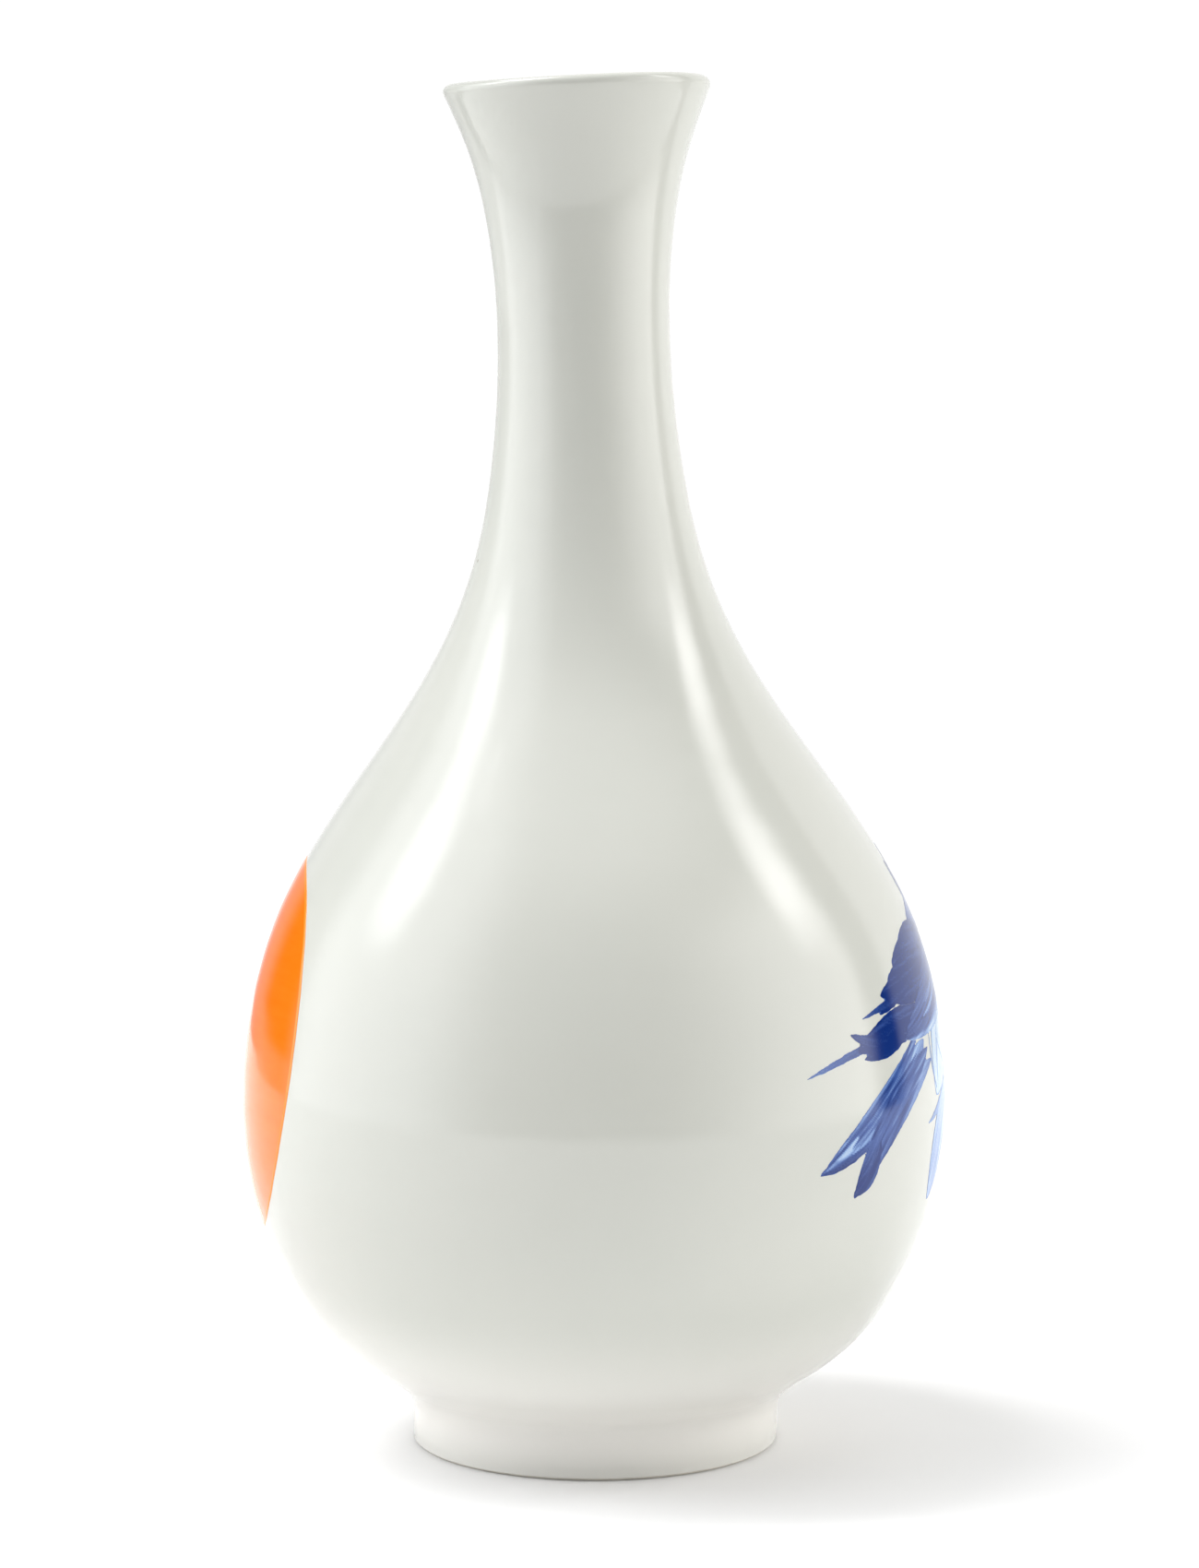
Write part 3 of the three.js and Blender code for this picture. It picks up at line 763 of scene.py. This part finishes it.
def overglaze_enamel(f):
    """Orange overglaze enamel, brushed on in one thin even coat and fired low: saturated, glassy, with faint
    brushed banding and a paler line where it thins out at the edge."""
    made, tree = material("orange_overglaze_enamel")
    place = node(tree, "ShaderNodeTexCoord").outputs["Object"]
    thick = node(tree, "ShaderNodeAttribute", attribute_name="coat")
    drawn = node(tree, "ShaderNodeMapping", {"Vector": place, "Scale": (1.0, 0.28, 3.2)})
    bands = node(tree, "ShaderNodeTexNoise", {
        "Vector": drawn.outputs["Vector"], "Scale": 1 / (6 * MM), "Detail": 3.0})
    mottle = node(tree, "ShaderNodeMapRange", {
        "Value": bands.outputs["Fac"], "From Min": 0.25, "From Max": 0.75, "To Min": 0.0, "To Max": 0.1})
    thin = node(tree, "ShaderNodeMapRange", {
        "Value": thick.outputs["Fac"], "From Min": 0.0, "From Max": 1.0, "To Min": 0.85, "To Max": 0.0})
    share = node(tree, "ShaderNodeMath", {
        0: thin.outputs["Result"], 1: mottle.outputs["Result"]}, operation="MAXIMUM")
    base = node(tree, "ShaderNodeMix", {
        "Factor": share.outputs["Value"], "A": f.sun, "B": f.sun_thin}, data_type="RGBA")
    glaze_surface(tree, base.outputs["Result"], place)
    return made


def cobalt_painting(f):
    """Cobalt blue brushed on the raw body and fired under the clear glaze: strokes that pool dark at their
    edges and show the brush's hairs, under the same mirror-like skin as the porcelain."""
    made, tree = material("cobalt_underglaze_painting")
    place = node(tree, "ShaderNodeTexCoord").outputs["Object"]
    ink = node(tree, "ShaderNodeAttribute", attribute_name="ink")
    grain = node(tree, "ShaderNodeTexNoise", {"Vector": place, "Scale": 1 / (0.45 * MM), "Detail": 3.0})
    shift = node(tree, "ShaderNodeMapRange", {
        "Value": grain.outputs["Fac"], "From Min": 0.25, "From Max": 0.75, "To Min": -0.05, "To Max": 0.05})
    amount = node(tree, "ShaderNodeMath", {0: ink.outputs["Fac"], 1: shift.outputs["Result"]},
                  operation="ADD", use_clamp=True)
    ramp = node(tree, "ShaderNodeValToRGB", {"Fac": amount.outputs["Value"]})
    stops = [(0.0, f.porcelain), (0.16, f.wash), (0.38, f.light), (0.7, f.middle), (0.97, f.deep)]
    elements = ramp.color_ramp.elements
    while len(elements) < len(stops):
        elements.new(0.5)
    for element, (position, tint) in zip(elements, stops):
        element.position = position
        element.color = tint
    glaze_surface(tree, ramp.outputs["Color"], place)
    return made


def pale_floor(tone):
    """A matt painted studio table: even and pale, with the faintest grain."""
    made, tree = material("matt_painted_table")
    place = node(tree, "ShaderNodeTexCoord").outputs["Object"]
    grain = node(tree, "ShaderNodeTexNoise", {"Vector": place, "Scale": 1 / (40 * MM), "Detail": 2.0})
    darker = tuple(0.985 * c for c in tone[:3]) + (1,)
    mixed = node(tree, "ShaderNodeMix", {
        "Factor": grain.outputs["Fac"], "A": tone, "B": darker}, data_type="RGBA")
    shader = node(tree, "ShaderNodeBsdfDiffuse", {"Color": mixed.outputs["Result"]})
    node(tree, "ShaderNodeOutputMaterial", {"Surface": shader.outputs["BSDF"]})
    return made


# ---------------------------------------------------------------- light

def band(tree, value, edges):
    """1 between the two inner edges, 0 outside the outer ones, smooth between; edges are in degrees."""
    a, b, c, d = (math.radians(e) for e in edges)
    up = node(tree, "ShaderNodeMapRange", {"Value": value, "From Min": a, "From Max": b},
              interpolation_type="SMOOTHSTEP")
    down = node(tree, "ShaderNodeMapRange", {"Value": value, "From Min": d, "From Max": c},
                interpolation_type="SMOOTHSTEP")
    both = node(tree, "ShaderNodeMath", {0: up.outputs["Result"], 1: down.outputs["Result"]}, operation="MULTIPLY")
    return both.outputs["Value"]


# Each light is [turn edges, height edges, colour]: turns run from the front, + to the right, heights from level,
# in degrees.
LIGHTS = [
    # the left soft box's bright core
    ((-106, -92, -89, -77), (18, 40, 41, 54), (6.0, 6.1, 6.25)),
    # the right soft box's bright core
    ((78, 89, 92, 105), (18, 40, 43, 56), (5.7, 5.65, 5.65)),
    # the left soft box's diffuser
    ((-124, -106, -66, -28), (-25, -8, 50, 66), (1.98, 2.0, 2.06)),
    # the right soft box's diffuser
    ((18, 80, 98, 108), (-25, -8, 32, 50), (2.6, 2.58, 2.56)),
    # the key light, high on the left
    ((-140, -122, -84, -70), (50, 58, 76, 84), (8.8, 8.8, 8.9)),
    # the white surround behind, right
    ((116, 122, 185, 186), (-90, -89, 50, 70), (0.95, 0.95, 0.95)),
    # the white surround behind, left of the middle
    ((-186, -185, -172, -158), (-90, -89, 50, 70), (0.5, 0.5, 0.5)),
    # the same, reaching further left
    ((-186, -185, -152, -138), (-90, -89, 50, 70), (0.4, 0.4, 0.41)),
    # white paper low on the left
    ((-152, -138, -112, -106), (-16, -14, -4, -1), (0.55, 0.55, 0.55)),
    # the white ceiling
    ((-186, -185, 185, 186), (46, 64, 91, 92), (1.06, 1.06, 1.06)),
]
SURROUND = (0.045, 0.045, 0.044, 1)


def studio_light():
    """Two tall soft boxes at the sides, a white surround behind and a greyer room in front."""
    world = bpy.data.worlds.new("studio")
    bpy.context.scene.world = world
    world.use_nodes = True
    tree = world.node_tree
    tree.nodes.clear()
    axes = node(tree, "ShaderNodeSeparateXYZ", {"Vector": node(tree, "ShaderNodeTexCoord").outputs["Generated"]})
    front = node(tree, "ShaderNodeMath", {0: axes.outputs["Y"], 1: -1.0}, operation="MULTIPLY")
    turn = node(tree, "ShaderNodeMath", {0: axes.outputs["X"], 1: front.outputs["Value"]}, operation="ARCTAN2")
    height = node(tree, "ShaderNodeMath", {0: axes.outputs["Z"]}, operation="ARCSINE")
    total = node(tree, "ShaderNodeRGB")
    total.outputs["Color"].default_value = SURROUND
    total = total.outputs["Color"]
    for turns, heights, tint in LIGHTS:
        mask = node(tree, "ShaderNodeMath", {
            0: band(tree, turn.outputs["Value"], turns), 1: band(tree, height.outputs["Value"], heights)},
            operation="MULTIPLY")
        lit = node(tree, "ShaderNodeVectorMath", {0: tint, "Scale": mask.outputs["Value"]}, operation="SCALE")
        total = node(tree, "ShaderNodeVectorMath", {0: total, 1: lit.outputs["Vector"]},
                     operation="ADD").outputs["Vector"]
    seen = node(tree, "ShaderNodeLightPath")
    shown = node(tree, "ShaderNodeMix", {
        "Factor": seen.outputs["Is Camera Ray"], "A": total, "B": SEEN_WHITE}, data_type="RGBA")
    sky = node(tree, "ShaderNodeBackground", {"Color": shown.outputs["Result"], "Strength": 1.0})
    node(tree, "ShaderNodeOutputWorld", {"Surface": sky.outputs["Background"]})
    bpy.context.scene.view_settings.view_transform = "Standard"


# ---------------------------------------------------------------- operators

def current_pot():
    return Pot(sizes(bpy.context.scene.vase_pot))


class VASE_OT_glazed_wall(bpy.types.Operator):
    """Turn the whole glazed wall, from under the foot over the lip to the floor inside"""

    bl_idname = "vase.glazed_wall"
    bl_label = "Glazed wall"

    def execute(self, context):
        pot = current_pot()
        points, faces = turned(pot, glazed_profile(pot))
        names = ["lower_body", "upper_body", "shoulder", "neck", "mouth_rim"]
        glaze = clear_glazed_porcelain(context.scene.vase_finishes)
        piece("glazed_wall", points, faces, names, glaze)
        return {"FINISHED"}


class VASE_OT_foot(bpy.types.Operator):
    """Turn the bare foot ring that the pot stands on"""

    bl_idname = "vase.foot"
    bl_label = "Foot ring"

    def execute(self, context):
        pot = current_pot()
        points, faces = turned(pot, foot_profile(pot))
        piece("bare_foot_ring", points, faces, ["foot_ring"],
              ground_biscuit(context.scene.vase_finishes))
        return {"FINISHED"}


class VASE_OT_sun(bpy.types.Operator):
    """Lay the orange enamel sun on the belly"""

    bl_idname = "vase.sun"
    bl_label = "Enamel sun"

    def execute(self, context):
        pot = current_pot()
        s = sizes(context.scene.vase_paint)
        girth, _ = pot.outline(s.sun_height)
        base = np.interp(s.sun_height, pot.arc_z, pot.arc)
        round_count = SUN_DIVISIONS
        inner = np.arange(s.sun_radius - SUN_INNER_FROM, 1, -SUN_INNER_STEP)
        radii = np.concatenate([s.sun_radius - SUN_EDGE_ROWS, inner, [SUN_LAST_RADIUS]])
        angles = np.linspace(0, 2 * np.pi, round_count, endpoint=False)
        wobble = Lattice(5)
        rows = []
        for radius in radii:
            share = radius / s.sun_radius
            stray = SUN_STRAY * (wobble.at(20 + 6 * np.cos(angles), 20 + 6 * np.sin(angles)) - 0.5)
            reach = radius + stray * share
            v = reach * np.sin(angles)
            local, _ = pot.outline(np.interp(base + v, pot.arc, pot.arc_z))
            rows.append(np.stack([reach * np.cos(angles) * girth / local, v], -1))
        flat = np.concatenate(rows + [np.zeros((1, 2))])
        depth = np.concatenate([np.repeat(s.sun_radius - radii, round_count), [s.sun_radius]])
        faces = []
        for k in range(len(radii) - 1):
            for i in range(round_count):
                j = (i + 1) % round_count
                a, b = k * round_count, (k + 1) * round_count
                faces.append((a + i, a + j, b + j, b + i))
        last, middle = (len(radii) - 1) * round_count, len(flat) - 1
        faces += [(last + i, last + (i + 1) % round_count, middle) for i in range(round_count)]
        dome = np.sqrt(np.clip(1 - np.square(1 - np.clip(depth / SUN_ROUNDING, 0, 1)), 0, 1))

        def lay(points, side):
            out = (SUN_LIFT + s.sun_film * dome) if side else np.full(len(points), -SUN_SUNK)
            return pot.painted(points[:, 0], points[:, 1], s.sun_turn, s.sun_height, out)

        points, faces = slab(flat, faces, lay)
        made = piece("enamel_sun", points, faces, ["sun_disc"],
                     overglaze_enamel(context.scene.vase_finishes))
        coat = made.data.attributes.new("coat", "FLOAT", "POINT")
        coat.data.foreach_set("value", np.tile(smooth(0.0, SUN_THIN_EDGE, depth), 2).astype(np.float32))
        return {"FINISHED"}


class VASE_OT_bird(bpy.types.Operator):
    """Paint the cobalt bird, one coat for each part of it"""

    bl_idname = "vase.bird"
    bl_label = "Cobalt bird"

    def execute(self, context):
        pot = current_pot()
        s = sizes(context.scene.vase_paint)
        paint = cobalt_painting(context.scene.vase_finishes)
        ragged, hairs = Lattice(11), Lattice(23)
        laid = []
        for name, strokes in BIRD.items():
            before = list(laid)

            def edge(u, v):
                own = edge_of(strokes, u, v, ragged)
                if not before:
                    return own
                return np.maximum(own, BIRD_GAP - edge_of(before, u, v, ragged))

            ends = np.array([point for stroke in strokes for point in (stroke.root, stroke.tip)])
            flat, faces = outline_mesh(edge, ends.min(0) - BIRD_MARGIN, ends.max(0) + BIRD_MARGIN, s.bird_mesh)
            if not faces:
                raise RuntimeError(f"{name} has no painted area")

            def lay(points, side):
                out = np.full(len(points), s.bird_film if side else -BIRD_SUNK)
                return pot.painted(points[:, 0], points[:, 1], s.bird_turn, s.bird_height, out)

            points, closed = slab(flat, faces, lay)
            made = piece(f"painted_{name}", points, closed, [name], paint)
            ink = made.data.attributes.new("ink", "FLOAT", "POINT")
            values = inked(strokes, flat[:, 0], flat[:, 1], hairs)
            ink.data.foreach_set("value", np.tile(values, 2).astype(np.float32))
            laid.extend(strokes)
        return {"FINISHED"}


class VASE_OT_stage(bpy.types.Operator):
    """Set the pale floor, the studio light and the camera"""

    bl_idname = "vase.stage"
    bl_label = "Stage"

    def execute(self, context):
        stage = context.scene.vase_stage
        angles = np.linspace(0, 2 * np.pi, FLOOR_DIVISIONS, endpoint=False)
        made = bmesh.new()
        centre = made.verts.new((0, 0, 0))
        before = None
        for radius in (*FLOOR_RINGS, stage.floor_radius):
            ring = [made.verts.new((radius * math.cos(a), radius * math.sin(a), 0)) for a in angles]
            for i in range(FLOOR_DIVISIONS):
                j = (i + 1) % FLOOR_DIVISIONS
                inward = [before[j], before[i]] if before else [centre]
                made.faces.new([*inward, ring[i], ring[j]])
            before = ring
        mesh = bpy.data.meshes.new("pale_floor")
        made.to_mesh(mesh)
        made.free()
        floor = bpy.data.objects.new("pale_floor", mesh)
        context.scene.collection.objects.link(floor)
        mesh.materials.append(pale_floor(tuple(stage.floor_tone)))
        floor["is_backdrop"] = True
        studio_light()
        data = bpy.data.cameras.new("camera")
        data.lens = stage.lens
        data.sensor_width = 36
        data.clip_end = 20
        camera = bpy.data.objects.new("camera", data)
        camera.location = (stage.camera_side, -stage.camera_distance, stage.camera_height)
        camera.rotation_euler = (math.pi / 2 - stage.camera_dip, 0, 0)
        context.scene.collection.objects.link(camera)
        context.scene.camera = camera
        return {"FINISHED"}


class VASE_PT_panel(bpy.types.Panel):
    """The vase's sizes, finishes and operators"""

    bl_idname = "VASE_PT_panel"
    bl_label = "Bottle vase"
    bl_space_type = "VIEW_3D"
    bl_region_type = "UI"
    bl_category = "Vase"

    def draw(self, context):
        for operator in OPERATORS:
            self.layout.operator(operator.bl_idname)
        for key, _ in GROUPS:
            group = getattr(context.scene, key)
            box = self.layout.box()
            for name in group.bl_rna.properties.keys():
                if name not in ("rna_type", "name"):
                    box.prop(group, name)


GROUPS = [
    ("vase_pot", PotSizes), ("vase_paint", PaintSizes), ("vase_finishes", Finishes), ("vase_stage", StageSizes)]
OPERATORS = [VASE_OT_glazed_wall, VASE_OT_foot, VASE_OT_sun, VASE_OT_bird, VASE_OT_stage]


def register():
    for _, group in GROUPS:
        bpy.utils.register_class(group)
    for key, group in GROUPS:
        setattr(bpy.types.Scene, key, PointerProperty(type=group))
    for operator in OPERATORS:
        bpy.utils.register_class(operator)
    bpy.utils.register_class(VASE_PT_panel)


def unregister():
    bpy.utils.unregister_class(VASE_PT_panel)
    for operator in reversed(OPERATORS):
        bpy.utils.unregister_class(operator)
    for key, group in reversed(GROUPS):
        delattr(bpy.types.Scene, key)
        bpy.utils.unregister_class(group)


def main():
    register()
    bpy.ops.vase.glazed_wall()
    bpy.ops.vase.foot()
    bpy.ops.vase.sun()
    bpy.ops.vase.bird()
    bpy.ops.vase.stage()
    bpy.context.view_layer.update()
    visual_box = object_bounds()
    plain = lambda box: [[float(c) for c in corner] for corner in box]
    {"cad": plain(CAD_BOX), "visual": plain(visual_box)}


if __name__ == "__main__":
    main()
